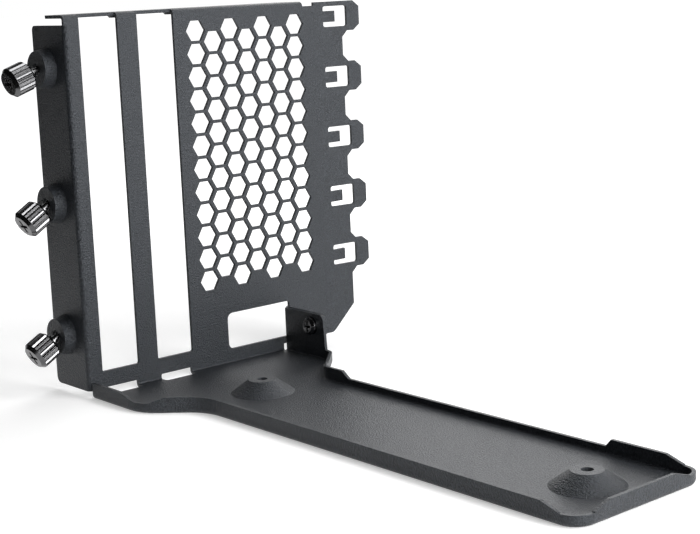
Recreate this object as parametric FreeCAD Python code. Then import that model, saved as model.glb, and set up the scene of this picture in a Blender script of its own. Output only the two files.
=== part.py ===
import FreeCAD, Part
import math
import os

# Vertical graphics card mount: one folded and powder coated steel sheet, a corner screw and three
# captive thumbscrews, each held in its embossed cone by a retaining washer. Millimetres.
# While it is built, X = 0 is the outer face of the side flange, Y = 0 the front face of the panel
# and Z = 0 the underside of the tray. The tray runs toward -Y and the flanges toward +Y.

# Sheet
SHEET = 1.0
BEND_IN = 0.5
BEND_OUT = BEND_IN + SHEET

# Panel
PANEL_HEIGHT = 116.5
PANEL_WIDTH = 94.5
FREE_EDGE = 3.05

# Slots for the card brackets, measured from the left edge of the panel
SLOT_PITCH = 20.32
CARD_SLOTS = 2
CARD_SLOT_LEFT = 5.1
CARD_SLOT_WIDTH = 13.3
CARD_SLOT_FLOOR = 7.6
CARD_SLOT_CORNER = 0.6

# Foot slots, where the tongues of the card brackets pass through the bottom bend
FOOT_SLOT_INSET = 0.85
FOOT_SLOT_TOP = 2.5
FOOT_SLOT_DEPTH = 2.9
FOOT_SLOT_CORNER = 1.2

# Honeycomb mesh, as many columns and rows as leave a plain margin round them
HEX_FLATS = 6.3
HEX_COLUMN_PITCH = 6.616
HEX_ROW_PITCH = 7.287
MESH_FROM_SLOT = 4.62
MESH_FROM_TOP = 4.0
MESH_FROM_STRIP = 3.0
MESH_FROM_WINDOW = 8.0

# Side flange
SIDE_DEPTH = 19.1
SIDE_FLOOR = 2.2
SIDE_FALL = 3.0
SIDE_CORNER_LOW = 2.0
SIDE_CORNER_HIGH = 1.5

# Top flange and its two extruded screw holes
TOP_DEPTH = 11.4
TOP_FROM_STRIP = 4.2
TOP_CORNER = 1.0
COLLAR_DROP = 0.7
COLLAR_WALL = 0.88
COLLAR_TAPER = 0.6
COLLAR_HOLE_RADIUS = 1.42

# Hooked strip, bent slightly forward along its whole height
STRIP_WIDTH = 11.78
STRIP_TILT = 5.0
STRIP_FALL = 0.4
STRIP_NOTCH = 0.4
STRIP_CHAMFER = 8.9
STRIP_LOW_CORNER = 2.5

# Hooks of the strip, as many as fit above its chamfer
HOOK_REACH = 7.22
HOOK_HALF = 5.0
HOOK_CHAMFER_X = 2.5
HOOK_CHAMFER_Z = 2.0
HOOK_ROOT_X = 2.05
HOOK_ROOT_Z = 2.1
HOOK_FROM_CHAMFER = 8.0

# Opening in each hook, and the spring tongue in it
OPENING_FROM_BEND = 4.2
OPENING_WIDTH = 9.63
OPENING_CORNER = 0.75
HOOK_LAND = 1.55
TONGUE_ROOT = 0.94
TONGUE_LENGTH = 4.11
TONGUE_GAP = 1.6
TONGUE_TILT = 8.0

# Tray
TRAY_LEFT = 0.6
TRAY_WIDTH = 76.4
TRAY_LENGTH = 183.35
NEAR_STEP = 13.85
FAR_STEP = 16.2
NEAR_SLANT = 26.3
FAR_SLANT = 23.85
NEAR_SLANT_RADIUS = 14.0
FAR_SLANT_RADIUS = 6.4
FRONT_LEFT_RADIUS = 6.0
FRONT_RIGHT_RADIUS = 5.5
WALL_GAP = 0.8
RIM = 5.0

# Stretches where the rim is lower, measured from the slants and from the front corners
LOW_RIM_DROP = 1.9
SLANT_RIM_DROP = 1.0
FAR_RIM_DROP = 2.05
NEAR_DIP_BEFORE = 10.8
NEAR_DIP_AFTER = 5.7
NEAR_DIP_SLOPE = 8.0
NEAR_DIP_RISE = 4.0
CORNER_DIP = 11.4
CORNER_SLOPE = 6.0
FAR_DIP_BACK = 24.85
FAR_DIP_FRONT = 28.55
FAR_DIP_SLOPE = 3.0
FAR_DIP_RISE = 1.9
SLANT_DIP_AFTER = 14.15

# Tab lanced out of the panel, with the corner tab of the tray laid against it
LANCED_REACH = 20.0
LANCED_FLOOR = 7.8
LANCED_HEIGHT = 7.6
LANCED_CORNER = 2.0
LAP_GAP = 0.1
TAB_LEAN = 0.6
TAB_CORNER = 2.0

# Window that the lanced tab leaves, with the room round the tab's blank
WINDOW_BELOW = 2.4
WINDOW_ABOVE = 1.9
WINDOW_SPARE = 5.6
WINDOW_CORNER = 2.0
WINDOW_EAR_CORNER = 0.8

# Riser cones of the tray
RISER_FROM_LEFT = 23.65
RISER_BACK = 37.2
RISER_FRONT = 17.55
RISER_HEIGHT = 4.0
RISER_BASE_RADIUS = 9.7
RISER_TOP_RADIUS = 4.2
RISER_HOLE_RADIUS = 1.6

# Cones of the side flange, the middle one halfway between the others
CONE_INSET = 7.4
CONE_FROM_TOP = 12.9
CONE_FROM_FLOOR = 16.3
CONE_HEIGHT = 3.6
CONE_BASE_RADIUS = 6.2
CONE_TOP_RADIUS = 5.5

# Thumbscrews
KNOB_LENGTH = 7.2
KNOB_RADIUS = 4.6
KNOB_CHAMFER = 0.8
KNOB_BAND = 1.05
KNOB_TAPER = 1.05
FLUTES = 21
FLUTE_DEPTH = 0.42
FLUTE_SHARE = 0.62
BOSS_LENGTH = 1.0
BOSS_LAP = 0.1
THREAD_RADIUS = 1.75
THREAD_LENGTH = 4.8
THREAD_DEPTH = 0.5
THREAD_CLEARANCE = 0.25

# Retaining washers
WASHER_LAP = 0.35
WASHER_THICKNESS = 0.3
WASHER_CLEARANCE = 0.05

# Each screw hangs in its cone by an angle below level, pushed or pulled along its own axis
DROOP = {"top": 19.5, "middle": 32.0, "bottom": 30.0}
TOP_BOSS_OFF = 2.5
MIDDLE_BOSS_OFF = 2.05
BOTTOM_BOSS_OFF = 1.9
BOSS_OFF = {"top": TOP_BOSS_OFF, "middle": MIDDLE_BOSS_OFF, "bottom": BOTTOM_BOSS_OFF}
HANG = 0.15

# Cross recesses
CROSS_SPAN = 2.3
CROSS_ARM = 1.0
CROSS_DEPTH = 1.7
CROSS_TAPER = 0.55

# Corner screw
SCREW_FROM_TIP = 5.5
SCREW_ABOVE_TAB = 3.5
SCREW_RADIUS = 1.5
SCREW_HEAD_RADIUS = 3.0
SCREW_HEAD_HEIGHT = 1.8
SCREW_CROWN = 0.8
SCREW_PROUD = 1.2
SCREW_FREE_GAP = 0.2
SCREW_THREAD_GAP = 0.03
SCREW_CROSS_SPAN = 1.7
SCREW_CROSS_ARM = 0.8
SCREW_CROSS_DEPTH = 1.1

# Places that several features share
SIDE_TOP = PANEL_HEIGHT - SIDE_FALL
STRIP_TOP = PANEL_HEIGHT - STRIP_FALL
BEND_LINE = PANEL_HEIGHT - BEND_OUT
TRAY_RIGHT = TRAY_LEFT + TRAY_WIDTH
NARROW_LEFT = TRAY_LEFT + NEAR_STEP
NARROW_RIGHT = TRAY_RIGHT - FAR_STEP
FLOOR_LEFT = TRAY_LEFT + BEND_OUT
FLOOR_RIGHT = TRAY_RIGHT - BEND_OUT
LANCED_TOP = LANCED_FLOOR + LANCED_HEIGHT
WINDOW_TOP = LANCED_TOP + WINDOW_ABOVE
RISER_X = NARROW_LEFT + RISER_FROM_LEFT
RISER_PITCH = TRAY_LENGTH - RISER_BACK - RISER_FRONT
CONE_HOLE_RADIUS = THREAD_RADIUS + THREAD_CLEARANCE
NECK_RADIUS = THREAD_RADIUS - THREAD_DEPTH
BOSS_RADIUS = CONE_HOLE_RADIUS + BOSS_LAP
SCREW_Y = SCREW_FROM_TIP - LANCED_REACH
SCREW_Z = LANCED_FLOOR + SCREW_ABOVE_TAB

PAST = 1.0
ALONG = {
    "x": FreeCAD.Vector(1, 0, 0),
    "y": FreeCAD.Vector(0, 1, 0),
    "z": FreeCAD.Vector(0, 0, 1),
}
HALF_SLANT = math.tan(math.radians(22.5))


def point(axis, a, b, at):
    """A point of the plane that crosses an axis at one place."""
    places = {"x": (at, a, b), "y": (a, at, b), "z": (a, b, at)}
    return FreeCAD.Vector(*places[axis])


def outline(axis, corners, at):
    """Closed wire through (a, b, radius) corners in the plane across an axis."""
    ends = []
    edges = []
    for index, (a, b, radius) in enumerate(corners):
        here = FreeCAD.Vector(a, b, 0)
        before = FreeCAD.Vector(*corners[index - 1][:2], 0) - here
        after = FreeCAD.Vector(*corners[(index + 1) % len(corners)][:2], 0) - here
        before.normalize()
        after.normalize()
        half = before.getAngle(after) / 2
        leg = radius / math.tan(half)
        start = here + before * leg
        end = here + after * leg
        if radius > 0:
            inward = (before + after).normalize()
            middle = here + inward * (radius / math.sin(half) - radius)
            arc = [point(axis, spot.x, spot.y, at) for spot in (start, middle, end)]
            edges.append(Part.Arc(*arc).toShape())
        ends.append((point(axis, start.x, start.y, at), point(axis, end.x, end.y, at)))
    for index, (start, _) in enumerate(ends):
        leaving = ends[index - 1][1]
        if leaving.distanceToPoint(start) > 1e-6:
            edges.append(Part.makeLine(leaving, start))
    return Part.Wire(Part.__sortEdges__(edges))


def slab(axis, corners, start, end):
    """Solid with a flat outline, from one place to another along an axis."""
    face = Part.Face(outline(axis, corners, start))
    return face.extrude(ALONG[axis] * (end - start))


def box(x, y, z):
    """Box from three (low, high) pairs."""
    low = FreeCAD.Vector(x[0], y[0], z[0])
    return Part.makeBox(x[1] - x[0], y[1] - y[0], z[1] - z[0], low)


def bend(axis, centre, toward, start, end):
    """Quarter turn of the sheet about a centre, in the quadrant that toward points at."""
    a, b = centre
    sa, sb = toward
    corners = [
        (a + sa * BEND_OUT, b, 0),
        (a + sa * BEND_OUT, b + sb * BEND_OUT, BEND_OUT),
        (a, b + sb * BEND_OUT, 0),
        (a, b + sb * BEND_IN, 0),
        (a + sa * BEND_IN, b + sb * BEND_IN, BEND_IN),
        (a + sa * BEND_IN, b, 0),
    ]
    return slab(axis, corners, start, end)


def slight_bend(x, y, low, high, first, angle):
    """Sector of the sheet that fills a slight bend about an upright line."""
    sector = Part.makeCylinder(SHEET, high - low, FreeCAD.Vector(x, y, low), ALONG["z"], angle)
    return sector.rotate(FreeCAD.Vector(x, y, 0), ALONG["z"], first)


def frustum(base, direction, base_radius, top_radius, height):
    return Part.makeCone(base_radius, top_radius, height, base, direction)


def embossed_cone(base, direction, base_radius, top_radius, height, hole_radius):
    """Outer and inner bodies of a cone pressed out of the sheet, and the bore through its top."""
    slope = (base_radius - top_radius) / height
    wall = SHEET * math.hypot(1, slope)
    outer = frustum(base, direction, base_radius, top_radius, height)
    inner_base = base - direction * SHEET
    inner_low = base_radius + slope * SHEET - wall
    inner_high = top_radius + slope * SHEET - wall
    inner = frustum(inner_base, direction, inner_low, inner_high, height)
    bore = Part.makeCylinder(hole_radius, height + SHEET, base, direction)
    return outer, inner, bore


def cross_corners(face, across, upward, span, arm):
    """Corners of a cross, from half its span and half the width of its arms."""
    corners = []
    for first, second in ((across, upward), (upward, -across), (-across, -upward), (-upward, across)):
        corners.append(face + first * span - second * arm)
        corners.append(face + first * span + second * arm)
        corners.append(face + first * arm + second * arm)
    return corners


def flat_face(corners):
    return Part.Face(Part.makePolygon(corners + [corners[0]]))


def cross_recess(face, direction, span, width, depth):
    """Cross that narrows as it sinks from a screw's face."""
    across = FreeCAD.Vector(0, 1, 0)
    upward = direction.cross(across)
    floor = face + direction * depth
    wide = cross_corners(face, across, upward, span, width / 2)
    deep = cross_corners(floor, across, upward, CROSS_TAPER * span, CROSS_TAPER * width / 2)
    sides = [flat_face(wide), flat_face(deep)]
    for index in range(len(wide)):
        sides.append(flat_face([wide[index - 1], wide[index], deep[index], deep[index - 1]]))
    return Part.makeSolid(Part.makeShell(sides))


def panel_sheet():
    """Flat upright panel, without its holes."""
    corners = [
        (FLOOR_LEFT, BEND_OUT, 0),
        (FLOOR_RIGHT, BEND_OUT, 0),
        (FLOOR_RIGHT, FREE_EDGE, 0),
        (PANEL_WIDTH, FREE_EDGE, 0),
        (PANEL_WIDTH, BEND_LINE, 0),
        (0, BEND_LINE, 0),
        (0, SIDE_TOP, 0),
        (BEND_OUT, SIDE_TOP, 0),
        (BEND_OUT, SIDE_FLOOR, 0),
        (FLOOR_LEFT, SIDE_FLOOR, 0),
    ]
    return slab("y", corners, 0, SHEET)


def side_flange():
    """Flange on the left edge, folded back."""
    corners = [
        (BEND_OUT, SIDE_FLOOR, 0),
        (SIDE_DEPTH, SIDE_FLOOR, SIDE_CORNER_LOW),
        (SIDE_DEPTH, SIDE_TOP, SIDE_CORNER_HIGH),
        (BEND_OUT, SIDE_TOP, 0),
    ]
    plate = slab("x", corners, 0, SHEET)
    fold = bend("z", (BEND_OUT, BEND_OUT), (-1, -1), SIDE_FLOOR, SIDE_TOP)
    return plate.fuse(fold)


def top_flange():
    """Flange on the top edge, folded back, with an extruded screw hole beside each card slot."""
    right = PANEL_WIDTH - TOP_FROM_STRIP
    corners = [
        (0, BEND_OUT, 0),
        (0, TOP_DEPTH, TOP_CORNER),
        (right, TOP_DEPTH, TOP_CORNER),
        (right, BEND_OUT, 0),
    ]
    underside = PANEL_HEIGHT - SHEET
    plate = slab("z", corners, underside, PANEL_HEIGHT)
    fold = bend("x", (BEND_OUT, BEND_LINE), (-1, 1), 0, right)
    flange = plate.fuse(fold)
    collar_root = COLLAR_HOLE_RADIUS + COLLAR_WALL + COLLAR_TAPER
    collar_tip = COLLAR_HOLE_RADIUS + COLLAR_WALL
    web_middle = CARD_SLOT_LEFT + (CARD_SLOT_WIDTH + SLOT_PITCH) / 2
    for slot in range(CARD_SLOTS):
        centre = FreeCAD.Vector(web_middle + slot * SLOT_PITCH, TOP_DEPTH / 2, underside)
        collar = frustum(centre, -ALONG["z"], collar_root, collar_tip, COLLAR_DROP)
        top = centre + ALONG["z"] * SHEET
        bore = Part.makeCylinder(COLLAR_HOLE_RADIUS, SHEET + COLLAR_DROP, top, -ALONG["z"])
        flange = flange.fuse(collar).cut(bore)
    return flange


def hook_centres():
    """Heights of the hooks, from the top down, as many as fit above the chamfer."""
    highest = STRIP_TOP - HOOK_HALF
    lowest = FREE_EDGE + STRIP_CHAMFER + HOOK_HALF + HOOK_FROM_CHAMFER
    hooks = 1 + int((highest - lowest) / SLOT_PITCH)
    return [highest - index * SLOT_PITCH for index in range(hooks)]


def strip_sheet():
    """Hooked strip, still flat in the plane of the panel."""
    edge = PANEL_WIDTH + STRIP_WIDTH
    root = edge + HOOK_ROOT_X
    right = edge + HOOK_REACH
    corners = [
        (PANEL_WIDTH, FREE_EDGE, 0),
        (edge - STRIP_CHAMFER, FREE_EDGE, STRIP_LOW_CORNER),
        (edge, FREE_EDGE + STRIP_CHAMFER, 0),
    ]
    for middle in reversed(hook_centres()):
        low = middle - HOOK_HALF
        high = middle + HOOK_HALF
        corners += [
            (edge, low - HOOK_ROOT_Z, 0),
            (root, low, 0),
            (right - HOOK_CHAMFER_X, low, 0),
            (right, low + HOOK_CHAMFER_Z, 0),
            (right, high - HOOK_CHAMFER_Z, 0),
            (right - HOOK_CHAMFER_X, high, 0),
            (root, high, 0),
            (edge, high + HOOK_ROOT_Z, 0),
        ]
    notch = PANEL_WIDTH + STRIP_NOTCH
    corners = corners[:-2] + [
        (notch, STRIP_TOP, 0),
        (notch, BEND_LINE, 0),
        (PANEL_WIDTH, BEND_LINE, 0),
    ]
    return slab("y", corners, 0, SHEET)


def hook_opening(middle):
    """Opening round the tongue of one hook."""
    left = PANEL_WIDTH + OPENING_FROM_BEND
    right = left + OPENING_WIDTH
    half = HOOK_HALF - HOOK_LAND
    corners = [
        (left, middle - half, OPENING_CORNER),
        (right, middle - half, OPENING_CORNER),
        (right, middle + half, OPENING_CORNER),
        (left, middle + half, OPENING_CORNER),
    ]
    opening = slab("y", corners, 0, SHEET)
    tongue_half = half - TONGUE_GAP
    root = box((left, left + TONGUE_ROOT), (0, SHEET), (middle - tongue_half, middle + tongue_half))
    return opening.cut(root)


def tongue(middle):
    """Spring tongue of one hook, bent slightly back at its root."""
    bend_x = PANEL_WIDTH + OPENING_FROM_BEND + TONGUE_ROOT
    half = HOOK_HALF - HOOK_LAND - TONGUE_GAP
    low = middle - half
    high = middle + half
    plate = box((bend_x, bend_x + TONGUE_LENGTH), (0, SHEET), (low, high))
    plate.rotate(FreeCAD.Vector(bend_x, SHEET, 0), ALONG["z"], TONGUE_TILT)
    root = slight_bend(bend_x, SHEET, low, high, -90, TONGUE_TILT)
    return plate.fuse(root)


def hooked_strip():
    """Strip with its hooks, turned forward about its bend line."""
    strip = strip_sheet()
    centres = hook_centres()
    strip = strip.cut([hook_opening(middle) for middle in centres])
    strip = strip.fuse([tongue(middle) for middle in centres])
    strip.rotate(FreeCAD.Vector(PANEL_WIDTH, 0, 0), ALONG["z"], -STRIP_TILT)
    fold = slight_bend(PANEL_WIDTH, 0, FREE_EDGE, BEND_LINE, 90 - STRIP_TILT, STRIP_TILT)
    return strip.fuse(fold)


def tray_outline(inset):
    """Plan of the tray as (x, y, radius) corners, moved inward by the inset."""
    shift = inset * HALF_SLANT
    return [
        (TRAY_LEFT + inset, PAST, 0),
        (TRAY_LEFT + inset, shift - NEAR_SLANT, NEAR_SLANT_RADIUS - inset),
        (NARROW_LEFT + inset, shift - NEAR_SLANT - NEAR_STEP, NEAR_SLANT_RADIUS + inset),
        (NARROW_LEFT + inset, inset - TRAY_LENGTH, FRONT_LEFT_RADIUS - inset),
        (NARROW_RIGHT - inset, inset - TRAY_LENGTH, FRONT_RIGHT_RADIUS - inset),
        (NARROW_RIGHT - inset, shift - FAR_SLANT - FAR_STEP, FAR_SLANT_RADIUS + inset),
        (TRAY_RIGHT - inset, shift - FAR_SLANT, FAR_SLANT_RADIUS - inset),
        (TRAY_RIGHT - inset, PAST, 0),
    ]


def round_floor(solid, height, radius):
    """Round the edges round the floor of a body at one height."""
    edges = []
    for edge in solid.Edges:
        box_of_edge = edge.BoundBox
        flat = box_of_edge.ZLength < 1e-6 and abs(box_of_edge.ZMin - height) < 1e-6
        at_panel = box_of_edge.YMin > PAST - 1e-6
        if flat and not at_panel:
            edges.append(edge)
    return solid.makeFillet(radius, edges)


def dip(axis, start, fall, rise, end, depth, across):
    """Cutter that lowers the rim, from a place where it falls to one where it is full again."""
    corners = [
        (start, RIM, 0),
        (start + fall, depth, 0),
        (end - rise, depth, 0),
        (end, RIM, 0),
        (end, RIM + PAST, 0),
        (start, RIM + PAST, 0),
    ]
    return slab(axis, corners, across[0], across[1])


def rim_dips():
    """Cutters for every stretch where the rim is lower than full."""
    low = RIM - LOW_RIM_DROP
    far_low = RIM - FAR_RIM_DROP
    near_wall = (TRAY_LEFT - PAST, NARROW_LEFT)
    left_wall = (NARROW_LEFT - PAST, NARROW_LEFT + FRONT_LEFT_RADIUS)
    right_wall = (NARROW_RIGHT - FRONT_RIGHT_RADIUS, NARROW_RIGHT + PAST)
    far_wall = (NARROW_RIGHT - 2 * SHEET, NARROW_RIGHT + PAST)
    slant = (NARROW_RIGHT - 2 * SHEET, TRAY_RIGHT + PAST)
    front_wall = (-TRAY_LENGTH - PAST, FRONT_LEFT_RADIUS - TRAY_LENGTH)
    beyond_front = -TRAY_LENGTH - CORNER_SLOPE
    beyond_left = NARROW_LEFT - CORNER_SLOPE
    beyond_right = NARROW_RIGHT + CORNER_SLOPE
    near_dip = (-NEAR_SLANT - NEAR_DIP_AFTER, NEAR_DIP_RISE, NEAR_DIP_SLOPE, NEAR_DIP_BEFORE - NEAR_SLANT)
    front_dip = (beyond_front, PAST, CORNER_SLOPE, CORNER_DIP - TRAY_LENGTH)
    left_dip = (beyond_left, PAST, CORNER_SLOPE, NARROW_LEFT + CORNER_DIP)
    right_dip = (NARROW_RIGHT - CORNER_DIP, CORNER_SLOPE, PAST, beyond_right)
    far_dip = (FAR_DIP_FRONT - TRAY_LENGTH, FAR_DIP_RISE, FAR_DIP_SLOPE, -FAR_SLANT - FAR_DIP_BACK)
    slant_dip = (-FAR_SLANT - SLANT_DIP_AFTER, FAR_DIP_SLOPE, 0, tab_front())
    return [
        dip("x", *near_dip, low, near_wall),
        dip("x", *front_dip, low, left_wall),
        dip("y", *left_dip, low, front_wall),
        dip("x", *front_dip, low, right_wall),
        dip("y", *right_dip, low, front_wall),
        dip("x", *far_dip, far_low, far_wall),
        dip("x", *slant_dip, RIM - SLANT_RIM_DROP, slant),
    ]


def riser_places():
    """Foot of each riser cone on the floor of the tray."""
    places = []
    for index in range(2):
        places.append(FreeCAD.Vector(RISER_X, -RISER_BACK - index * RISER_PITCH, SHEET))
    return places


def tray():
    """Tray with its rim, riser cones and corner tab."""
    outer = slab("z", tray_outline(0), 0, RIM)
    outer = round_floor(outer, 0, BEND_OUT)
    pocket = slab("z", tray_outline(SHEET), SHEET, RIM + PAST)
    pocket = round_floor(pocket, SHEET, BEND_IN)
    behind = box((TRAY_LEFT - PAST, TRAY_RIGHT + PAST), (-WALL_GAP, 2 * PAST), (-PAST, RIM + 2 * PAST))
    body = outer.cut([pocket, behind] + rim_dips())
    body = body.fuse(box((FLOOR_LEFT, FLOOR_RIGHT), (-WALL_GAP, -BEND_IN), (0, SHEET)))
    for place in riser_places():
        shape = (RISER_BASE_RADIUS, RISER_TOP_RADIUS, RISER_HEIGHT, RISER_HOLE_RADIUS)
        outer_cone, inner_cone, bore = embossed_cone(place, ALONG["z"], *shape)
        body = body.fuse(outer_cone).cut([inner_cone, bore])
    return body.fuse(corner_tab())


def tab_front():
    """Where the straight right side of the tray ends and its slant begins to turn."""
    return FAR_SLANT_RADIUS * HALF_SLANT - FAR_SLANT


def corner_tab():
    """Upright tab on the right edge of the tray."""
    front = tab_front()
    corners = [
        (-WALL_GAP, BEND_OUT, 0),
        (front, BEND_OUT, 0),
        (front, RIM - SLANT_RIM_DROP, 0),
        (front + TAB_LEAN, LANCED_TOP, TAB_CORNER),
        (-WALL_GAP, LANCED_TOP, 0),
    ]
    plate = slab("x", corners, TRAY_RIGHT - SHEET, TRAY_RIGHT)
    return plate.cut(screw_bore(SCREW_RADIUS + SCREW_FREE_GAP, TRAY_RIGHT - SHEET))


def screw_bore(radius, start):
    """Bore of one sheet on the axis of the corner screw."""
    base = FreeCAD.Vector(start, SCREW_Y, SCREW_Z)
    return Part.makeCylinder(radius, SHEET, base, ALONG["x"])


def lanced_tab():
    """Tab lanced out of the window and folded forward beside the corner tab of the tray."""
    inner = TRAY_RIGHT + LAP_GAP
    corners = [
        (-BEND_IN, LANCED_FLOOR, 0),
        (-LANCED_REACH, LANCED_FLOOR, LANCED_CORNER),
        (-LANCED_REACH, LANCED_TOP, LANCED_CORNER),
        (-BEND_IN, LANCED_TOP, 0),
    ]
    plate = slab("x", corners, inner, inner + SHEET)
    plate = plate.cut(screw_bore(SCREW_RADIUS + SCREW_THREAD_GAP, inner))
    fold = bend("z", (inner + BEND_OUT, -BEND_IN), (-1, 1), LANCED_FLOOR, LANCED_TOP)
    return plate.fuse(fold)


def window():
    """Hole that the lanced tab leaves in the panel."""
    fold_line = TRAY_RIGHT + LAP_GAP + BEND_OUT
    left = fold_line - LANCED_REACH - WINDOW_SPARE
    floor = LANCED_FLOOR - WINDOW_BELOW
    corners = [
        (left, floor, WINDOW_CORNER),
        (fold_line, floor, WINDOW_EAR_CORNER),
        (fold_line, WINDOW_TOP, WINDOW_EAR_CORNER),
        (left, WINDOW_TOP, WINDOW_CORNER),
    ]
    return slab("y", corners, 0, SHEET)


def card_slots():
    """Slots for the card brackets, open through the top bend, and their foot slots."""
    cutters = []
    for slot in range(CARD_SLOTS):
        left = CARD_SLOT_LEFT + slot * SLOT_PITCH
        right = left + CARD_SLOT_WIDTH
        cutters.append(slab("y", [
            (left, CARD_SLOT_FLOOR, CARD_SLOT_CORNER),
            (right, CARD_SLOT_FLOOR, CARD_SLOT_CORNER),
            (right, PANEL_HEIGHT + PAST, 0),
            (left, PANEL_HEIGHT + PAST, 0),
        ], -PAST, BEND_OUT))
        foot_left = left + FOOT_SLOT_INSET
        foot_right = right - FOOT_SLOT_INSET
        cutters.append(slab("z", [
            (foot_left, -FOOT_SLOT_DEPTH, FOOT_SLOT_CORNER),
            (foot_right, -FOOT_SLOT_DEPTH, FOOT_SLOT_CORNER),
            (foot_right, SHEET + PAST, 0),
            (foot_left, SHEET + PAST, 0),
        ], -PAST, BEND_OUT))
        cutters.append(slab("y", [
            (foot_left, BEND_IN, 0),
            (foot_right, BEND_IN, 0),
            (foot_right, FOOT_SLOT_TOP, BEND_IN),
            (foot_left, FOOT_SLOT_TOP, BEND_IN),
        ], -BEND_IN, SHEET + PAST))
    return cutters


def mesh_holes():
    """Hexagons of the mesh, every second column half a pitch lower and one hole shorter."""
    circumradius = HEX_FLATS / math.sqrt(3)
    left = CARD_SLOT_LEFT + (CARD_SLOTS - 1) * SLOT_PITCH + CARD_SLOT_WIDTH + MESH_FROM_SLOT + circumradius
    right = PANEL_WIDTH - MESH_FROM_STRIP - circumradius
    top = PANEL_HEIGHT - MESH_FROM_TOP - HEX_FLATS / 2
    low = WINDOW_TOP + MESH_FROM_WINDOW + HEX_FLATS / 2
    columns = 1 + int((right - left) / HEX_COLUMN_PITCH)
    rows = 1 + int((top - low) / HEX_ROW_PITCH)
    holes = []
    for column in range(columns):
        low_column = column % 2
        x = left + column * HEX_COLUMN_PITCH
        for row in range(rows - low_column):
            z = top - (row + low_column / 2) * HEX_ROW_PITCH
            corners = []
            for corner in range(6):
                angle = math.radians(60 * corner)
                corners.append((x + circumradius * math.cos(angle), z + circumradius * math.sin(angle), 0))
            holes.append(slab("y", corners, 0, SHEET))
    return holes


def cone_places():
    """Foot of each cone on the side flange, by the name of its screw."""
    top = SIDE_TOP - CONE_FROM_TOP
    bottom = SIDE_FLOOR + CONE_FROM_FLOOR
    heights = {"top": top, "middle": (top + bottom) / 2, "bottom": bottom}
    return {name: FreeCAD.Vector(0, SIDE_DEPTH - CONE_INSET, z) for name, z in heights.items()}


def bracket():
    """The whole folded sheet."""
    sheet = panel_sheet().cut(mesh_holes() + [window()])
    bottom_fold = bend("x", (-BEND_IN, BEND_OUT), (1, -1), FLOOR_LEFT, FLOOR_RIGHT)
    sheet = sheet.fuse([side_flange(), top_flange(), hooked_strip(), tray(), bottom_fold, lanced_tab()])
    sheet = sheet.cut(card_slots())
    for place in cone_places().values():
        shape = (CONE_BASE_RADIUS, CONE_TOP_RADIUS, CONE_HEIGHT, CONE_HOLE_RADIUS)
        outer_cone, inner_cone, bore = embossed_cone(place, -ALONG["x"], *shape)
        sheet = sheet.fuse(outer_cone).cut([inner_cone, bore])
    return sheet.removeSplitter()


def turned(profile):
    """Body turned about the X axis from (x, radius) points."""
    points = [FreeCAD.Vector(x, 0, radius) for x, radius in profile]
    face = Part.Face(Part.makePolygon(points + [points[0]]))
    return face.revolve(FreeCAD.Vector(0, 0, 0), ALONG["x"], 360)


def neck_length():
    """Boss to thread, so that the washer is inside the cone when the screw is home."""
    return CONE_HEIGHT + SHEET


def flutes(start, end):
    """Cutters for the V grooves round a knob."""
    half_turn = math.pi / FLUTES
    half_mouth = FLUTE_SHARE * half_turn
    floor = KNOB_RADIUS - FLUTE_DEPTH
    mouth = 2 * KNOB_RADIUS - floor
    widen = 2 * half_mouth
    cutters = []
    for index in range(FLUTES):
        middle = 2 * half_turn * index
        corners = [(floor * math.cos(middle), floor * math.sin(middle), 0)]
        for angle in (middle - widen, middle + widen):
            corners.append((mouth * math.cos(angle), mouth * math.sin(angle), 0))
        cutters.append(slab("x", corners, start, end))
    return cutters


def thumbscrew():
    """Thumbscrew along X with its boss at x = 0 and its head toward -X."""
    back = -BOSS_LENGTH
    face = back - KNOB_LENGTH
    band = face + KNOB_BAND
    thread = neck_length()
    end = thread + THREAD_LENGTH
    screw = turned([
        (face, 0),
        (face, KNOB_RADIUS - KNOB_TAPER),
        (band, KNOB_RADIUS),
        (back - KNOB_CHAMFER, KNOB_RADIUS),
        (back, KNOB_RADIUS - KNOB_CHAMFER),
        (back, BOSS_RADIUS),
        (0, BOSS_RADIUS),
        (0, NECK_RADIUS),
        (thread, NECK_RADIUS),
        (thread, THREAD_RADIUS),
        (end, THREAD_RADIUS),
        (end, 0),
    ])
    recess = cross_recess(FreeCAD.Vector(face, 0, 0), ALONG["x"], CROSS_SPAN, CROSS_ARM, CROSS_DEPTH)
    return screw.cut(flutes(band, back) + [recess])


def retaining_washer():
    """Washer on the neck of a thumbscrew, beside the thread."""
    far = neck_length() - WASHER_CLEARANCE
    near = far - WASHER_THICKNESS
    bore = NECK_RADIUS + WASHER_CLEARANCE
    rim = CONE_HOLE_RADIUS + WASHER_LAP
    return turned([(near, bore), (near, rim), (far, rim), (far, bore)])


def hung(shape, name):
    """Put a screw or washer in its cone, hanging below level by its droop."""
    pivot = cone_places()[name] + FreeCAD.Vector(SHEET / 2 - CONE_HEIGHT, 0, -HANG)
    shape.translate(FreeCAD.Vector(-BOSS_OFF[name], 0, 0))
    shape.rotate(FreeCAD.Vector(0, 0, 0), ALONG["y"], -DROOP[name])
    shape.translate(pivot)
    return shape


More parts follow.
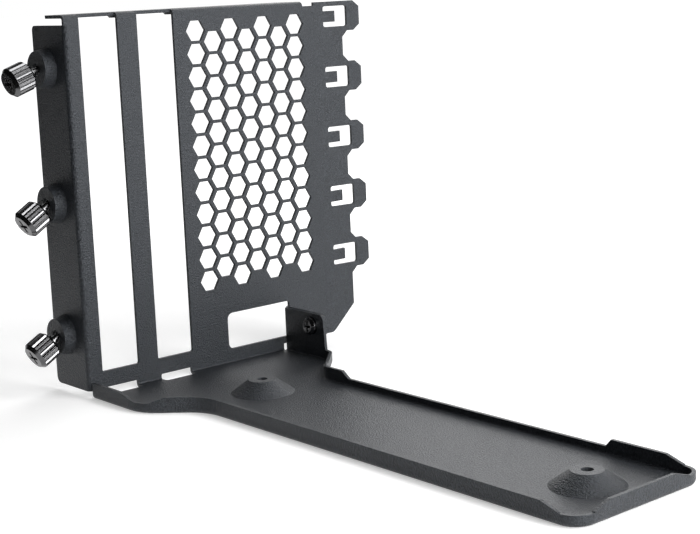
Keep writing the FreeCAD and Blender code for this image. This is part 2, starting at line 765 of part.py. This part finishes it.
def corner_screw():
    """Screw through the corner tab of the tray into the lanced tab."""
    shoulder = TRAY_RIGHT - SHEET
    face = shoulder - SCREW_HEAD_HEIGHT
    end = TRAY_RIGHT + LAP_GAP + SHEET + SCREW_PROUD
    screw = turned([
        (face, 0),
        (face, SCREW_HEAD_RADIUS - SCREW_CROWN),
        (face + SCREW_CROWN, SCREW_HEAD_RADIUS),
        (shoulder, SCREW_HEAD_RADIUS),
        (shoulder, SCREW_RADIUS),
        (end, SCREW_RADIUS),
        (end, 0),
    ])
    start = FreeCAD.Vector(face, 0, 0)
    recess = cross_recess(start, ALONG["x"], SCREW_CROSS_SPAN, SCREW_CROSS_ARM, SCREW_CROSS_DEPTH)
    screw = screw.cut(recess)
    screw.translate(FreeCAD.Vector(0, SCREW_Y, SCREW_Z))
    return screw


def main():
    """Write every piece, with the origin under the middle between the riser cones."""
    parts = {"bracket": bracket(), "corner_screw": corner_screw()}
    for name in DROOP:
        parts["thumbscrew_" + name] = hung(thumbscrew(), name)
        parts["retaining_washer_" + name] = hung(retaining_washer(), name)
    os.makedirs("parts", exist_ok=True)
    to_origin = FreeCAD.Vector(-RISER_X, RISER_BACK + RISER_PITCH / 2, 0)
    for node, shape in parts.items():
        shape.translate(to_origin)
        shape.exportStep("parts/" + node + ".step")
        box_of_part = shape.BoundBox
        print(node, len(shape.Solids), shape.isValid(), round(shape.Volume, 2), box_of_part)


main()
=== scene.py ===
import math

import bpy
from mathutils import Matrix, Vector

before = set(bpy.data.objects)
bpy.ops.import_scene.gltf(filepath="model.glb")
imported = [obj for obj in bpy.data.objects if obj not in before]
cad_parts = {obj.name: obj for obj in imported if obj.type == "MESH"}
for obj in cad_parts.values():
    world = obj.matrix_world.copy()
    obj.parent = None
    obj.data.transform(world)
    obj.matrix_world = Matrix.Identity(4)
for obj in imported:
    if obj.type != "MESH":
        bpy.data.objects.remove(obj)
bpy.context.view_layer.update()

scene = bpy.context.scene
MM = 0.001
WHITE = (1, 1, 1, 1)

# Camera, solved from the mesh holes, hooks, slots and tray edges: place in metres, heading
# clockwise from +Y, pitch and roll in degrees, sensor and lens in millimetres
CAMERA_PLACE = Vector((-0.27068, -0.30133, 0.12443))
CAMERA_HEADING = 40.330
CAMERA_PITCH = -8.720
CAMERA_ROLL = -2.499
SENSOR = 36.0
LENS = 79.313
SHIFT = (-0.00737, -0.07867)
CLIP = (0.01, 50.0)

# Powder coat: its grain runs from a dark to a light share of the colour
COAT_COLOUR = (0.0085, 0.0097, 0.0115)
COAT_DARK = 0.1
COAT_LIGHT = 3.0
COAT_GLOSS_TINT = (0.90, 0.94, 1.0, 1)
COAT_ROUGHNESS = 0.38
COAT_ROUGHNESS_SPREAD = 0.12
COAT_EDGE = 0.15 * MM
GRAIN_SIZE = 0.5 * MM
GRAIN_DEPTH = 0.42 * MM
GRAIN_DETAIL = 3.0
GRAIN_ROUGHNESS = 0.6

# Plated steel of the screws and washers
SCREW_COLOUR = (0.15, 0.15, 0.154)
SCREW_ROUGHNESS = 0.22
CORNER_SCREW_COLOUR = (0.14, 0.14, 0.144)
CORNER_SCREW_ROUGHNESS = 0.18
PLATING_DARK = 0.85
PLATING_ROUGHNESS_SPREAD = 0.06
PLATING_EDGE = 0.12 * MM
MOTTLE_SIZE = 0.8 * MM
MOTTLE_DETAIL = 2.0
MOTTLE_ROUGHNESS = 0.5

# Part of a noise texture's range that the colour ramps use, and samples for each softened edge
RAMP_SPAN = (0.3, 0.7)
EDGE_SAMPLES = 4

# World: strengths, and the height in the sky over which reflections turn dark
WORLD_FILL = 0.2
WORLD_MIRRORED = 0.95
DARK_OVERHEAD = (0.6, 0.85)

# Floor: its glow grows to white over these distances from the middle
FLOOR_SIZE = 12.0
FLOOR_COLOUR = (0.75, 0.75, 0.75, 1)
FLOOR_GLOW = 0.38
GLOW_REACH = (0.1, 0.7)

# Softboxes, all of one size and at one distance from the point that they face: name, azimuth
# clockwise from +Y and elevation in degrees, power in watts
LAMP_SIZE = 0.3
LAMP_DISTANCE = 0.55
LAMP_TARGET = Vector((0.0, 0.03, 0.05))
SOFTBOXES = (
    ("front", 178, 14, 3.2),
    ("front_right", 150, 45, 1.8),
    ("back_right", 54, 22, 0.76),
    ("top", 45, 65, 0.78),
)

# Dark cards: name, place, size, facing. The low one lies just above the floor behind the panel
# and is painted shade: in reflections it stands in for the shaded floor there
FLAG_COLOUR = (0.01, 0.01, 0.01, 1)
FLAGS = (
    ("left_flag", (-0.105, 0.4, 0.4), (1.9, 0.8), (1, 0, 0)),
    # Painted shade: a dark card that stands in, in reflections only, for the shaded floor
    # behind the panel
    ("painted_floor_shade", (0.005, 0.21, 0.0005), (0.07, 0.17), (0, 0, 1)),
)


def new_material(name):
    """Material with an empty node tree: the material, its nodes, links and output node."""
    material = bpy.data.materials.new(name)
    material.use_nodes = True
    nodes = material.node_tree.nodes
    nodes.clear()
    output = nodes.new("ShaderNodeOutputMaterial")
    return material, nodes, material.node_tree.links, output


def noise(nodes, links, size, detail, roughness):
    """Noise value whose blotches are about one size across, in the object's own metres."""
    place = nodes.new("ShaderNodeTexCoord")
    texture = nodes.new("ShaderNodeTexNoise")
    texture.inputs["Scale"].default_value = 1 / size
    texture.inputs["Detail"].default_value = detail
    texture.inputs["Roughness"].default_value = roughness
    links.new(place.outputs["Object"], texture.inputs["Vector"])
    return texture.outputs["Fac"]


def toned(colour, share):
    """Colour made darker or lighter, to this share of itself."""
    return tuple(share * value for value in colour)


def ramp(nodes, links, source, low, high):
    """Colour from a noise value, between two colours."""
    colours = nodes.new("ShaderNodeValToRGB")
    for stop, place, colour in zip(colours.color_ramp.elements, RAMP_SPAN, (low, high)):
        stop.position = place
        stop.color = (*colour, 1)
    links.new(source, colours.inputs["Fac"])
    return colours.outputs["Color"]


def spread(nodes, links, source, low, high, span=(0.0, 1.0), interpolation="LINEAR"):
    """Number from low to high, as the source goes through span."""
    scale = nodes.new("ShaderNodeMapRange")
    scale.interpolation_type = interpolation
    scale.inputs["From Min"].default_value = span[0]
    scale.inputs["From Max"].default_value = span[1]
    scale.inputs["To Min"].default_value = low
    scale.inputs["To Max"].default_value = high
    links.new(source, scale.inputs["Value"])
    return scale.outputs["Result"]


def soft_edge(nodes, radius):
    """Normal that is rounded off at sharp edges, in shading only."""
    edge = nodes.new("ShaderNodeBevel")
    edge.samples = EDGE_SAMPLES
    edge.inputs["Radius"].default_value = radius
    return edge.outputs["Normal"]


def powder_coat():
    """Fine textured black powder coat, with softened sheet edges."""
    material, nodes, links, output = new_material("powder_coat")
    shader = nodes.new("ShaderNodeBsdfPrincipled")
    grain = noise(nodes, links, GRAIN_SIZE, GRAIN_DETAIL, GRAIN_ROUGHNESS)
    dark, light = toned(COAT_COLOUR, COAT_DARK), toned(COAT_COLOUR, COAT_LIGHT)
    links.new(ramp(nodes, links, grain, dark, light), shader.inputs["Base Color"])
    shader.inputs["Specular Tint"].default_value = COAT_GLOSS_TINT
    rough = spread(
        nodes, links, grain,
        COAT_ROUGHNESS - COAT_ROUGHNESS_SPREAD, COAT_ROUGHNESS + COAT_ROUGHNESS_SPREAD)
    links.new(rough, shader.inputs["Roughness"])
    bump = nodes.new("ShaderNodeBump")
    bump.inputs["Strength"].default_value = 1.0
    bump.inputs["Distance"].default_value = GRAIN_DEPTH
    links.new(grain, bump.inputs["Height"])
    links.new(soft_edge(nodes, COAT_EDGE), bump.inputs["Normal"])
    links.new(bump.outputs["Normal"], shader.inputs["Normal"])
    links.new(shader.outputs["BSDF"], output.inputs["Surface"])
    return material


def plated_steel(name, colour, roughness):
    """Blackened plated steel, slightly mottled."""
    material, nodes, links, output = new_material(name)
    shader = nodes.new("ShaderNodeBsdfPrincipled")
    shader.inputs["Metallic"].default_value = 1.0
    mottle = noise(nodes, links, MOTTLE_SIZE, MOTTLE_DETAIL, MOTTLE_ROUGHNESS)
    shade = ramp(nodes, links, mottle, toned(colour, PLATING_DARK), colour)
    links.new(shade, shader.inputs["Base Color"])
    rough = spread(
        nodes, links, mottle,
        roughness - PLATING_ROUGHNESS_SPREAD, roughness + PLATING_ROUGHNESS_SPREAD)
    links.new(rough, shader.inputs["Roughness"])
    links.new(soft_edge(nodes, PLATING_EDGE), shader.inputs["Normal"])
    links.new(shader.outputs["BSDF"], output.inputs["Surface"])
    return material


def dress(node, material):
    """Give a CAD node its material."""
    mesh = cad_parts[node].data
    mesh.materials.clear()
    mesh.materials.append(material)


def background(nodes, strength):
    """White background light."""
    light = nodes.new("ShaderNodeBackground")
    light.inputs["Color"].default_value = WHITE
    light.inputs["Strength"].default_value = strength
    return light


def choose(nodes, links, choice, otherwise, chosen):
    """The chosen shader where choice is 1, and the other one where it is 0."""
    mix = nodes.new("ShaderNodeMixShader")
    links.new(choice, mix.inputs["Fac"])
    links.new(otherwise, mix.inputs[1])
    links.new(chosen, mix.inputs[2])
    return mix.outputs["Shader"]


def make_world():
    """White backdrop for the camera, darker overhead in reflections, and a weak even fill."""
    world = bpy.data.worlds.new("studio")
    scene.world = world
    world.use_nodes = True
    nodes = world.node_tree.nodes
    links = world.node_tree.links
    nodes.clear()
    output = nodes.new("ShaderNodeOutputWorld")
    path = nodes.new("ShaderNodeLightPath")
    place = nodes.new("ShaderNodeTexCoord")
    height = nodes.new("ShaderNodeSeparateXYZ")
    links.new(place.outputs["Generated"], height.inputs["Vector"])
    overhead = spread(
        nodes, links, height.outputs["Z"], WORLD_MIRRORED, 0.0, DARK_OVERHEAD, "SMOOTHSTEP")
    fill = background(nodes, WORLD_FILL)
    mirrored = background(nodes, WORLD_MIRRORED)
    links.new(overhead, mirrored.inputs["Strength"])
    white = background(nodes, 1.0)
    glossy, camera = path.outputs["Is Glossy Ray"], path.outputs["Is Camera Ray"]
    unseen = choose(
        nodes, links, glossy, fill.outputs["Background"], mirrored.outputs["Background"])
    shown = choose(nodes, links, camera, unseen, white.outputs["Background"])
    links.new(shown, output.inputs["Surface"])


def make_floor():
    """Pale floor that keeps the contact shadow and glows to white away from the object."""
    bpy.ops.mesh.primitive_plane_add(size=FLOOR_SIZE)
    floor = bpy.context.object
    floor.name = "floor"
    material, nodes, links, output = new_material("floor")
    lit = nodes.new("ShaderNodeBsdfDiffuse")
    lit.inputs["Color"].default_value = FLOOR_COLOUR
    glow = nodes.new("ShaderNodeEmission")
    place = nodes.new("ShaderNodeTexCoord")
    distance = nodes.new("ShaderNodeVectorMath")
    distance.operation = "LENGTH"
    links.new(place.outputs["Object"], distance.inputs[0])
    reach = spread(
        nodes, links, distance.outputs["Value"], FLOOR_GLOW, 1.0, GLOW_REACH, "SMOOTHSTEP")
    links.new(reach, glow.inputs["Strength"])
    bright = nodes.new("ShaderNodeAddShader")
    links.new(lit.outputs["BSDF"], bright.inputs[0])
    links.new(glow.outputs["Emission"], bright.inputs[1])
    links.new(bright.outputs["Shader"], output.inputs["Surface"])
    floor.data.materials.append(material)


def make_flag(name, place, size, facing):
    """Dark card beside the object, seen only as a reflection."""
    bpy.ops.mesh.primitive_plane_add(size=1.0, location=place)
    flag = bpy.context.object
    flag.name = name
    flag.scale = (*size, 1)
    flag.rotation_euler = Vector(facing).to_track_quat("Z", "Y").to_euler()
    material, nodes, links, output = new_material(name)
    black = nodes.new("ShaderNodeBsdfDiffuse")
    black.inputs["Color"].default_value = FLAG_COLOUR
    links.new(black.outputs["BSDF"], output.inputs["Surface"])
    flag.data.materials.append(material)
    flag.visible_camera = False
    flag.visible_shadow = False
    flag.visible_diffuse = False


def softbox(name, azimuth, elevation, power):
    """Square lamp that faces the object and isn't seen by the camera."""
    lamp = bpy.data.lights.new(name, "AREA")
    lamp.size = LAMP_SIZE
    lamp.energy = power
    holder = bpy.data.objects.new(name, lamp)
    scene.collection.objects.link(holder)
    turn = math.radians(azimuth)
    lift = math.radians(elevation)
    level = math.cos(lift)
    away = Vector((math.sin(turn) * level, math.cos(turn) * level, math.sin(lift)))
    holder.location = LAMP_TARGET + away * LAMP_DISTANCE
    holder.rotation_euler = away.to_track_quat("Z", "Y").to_euler()
    holder.visible_camera = False


def make_camera():
    """Camera that stands and looks as the photograph's did."""
    camera = bpy.data.cameras.new("camera")
    camera.sensor_width = SENSOR
    camera.lens = LENS
    camera.shift_x, camera.shift_y = SHIFT
    camera.clip_start, camera.clip_end = CLIP
    holder = bpy.data.objects.new("camera", camera)
    scene.collection.objects.link(holder)
    turn = Matrix.Rotation(math.radians(-CAMERA_HEADING), 4, "Z")
    nod = Matrix.Rotation(math.radians(90 + CAMERA_PITCH), 4, "X")
    roll = Matrix.Rotation(math.radians(CAMERA_ROLL), 4, "Z")
    holder.matrix_world = Matrix.Translation(CAMERA_PLACE) @ turn @ nod @ roll
    scene.camera = holder


make_camera()
make_world()
make_floor()
for row in SOFTBOXES:
    softbox(*row)
for row in FLAGS:
    make_flag(*row)
dress("bracket", powder_coat())
plating = plated_steel("black_plated_steel", SCREW_COLOUR, SCREW_ROUGHNESS)
washer_steel = plated_steel("washer_steel", SCREW_COLOUR, SCREW_ROUGHNESS)
for end in ("top", "middle", "bottom"):
    dress("thumbscrew_" + end, plating)
    dress("retaining_washer_" + end, washer_steel)
dress("corner_screw", plated_steel("black_screw", CORNER_SCREW_COLOUR, CORNER_SCREW_ROUGHNESS))
scene.view_settings.view_transform = "Standard"
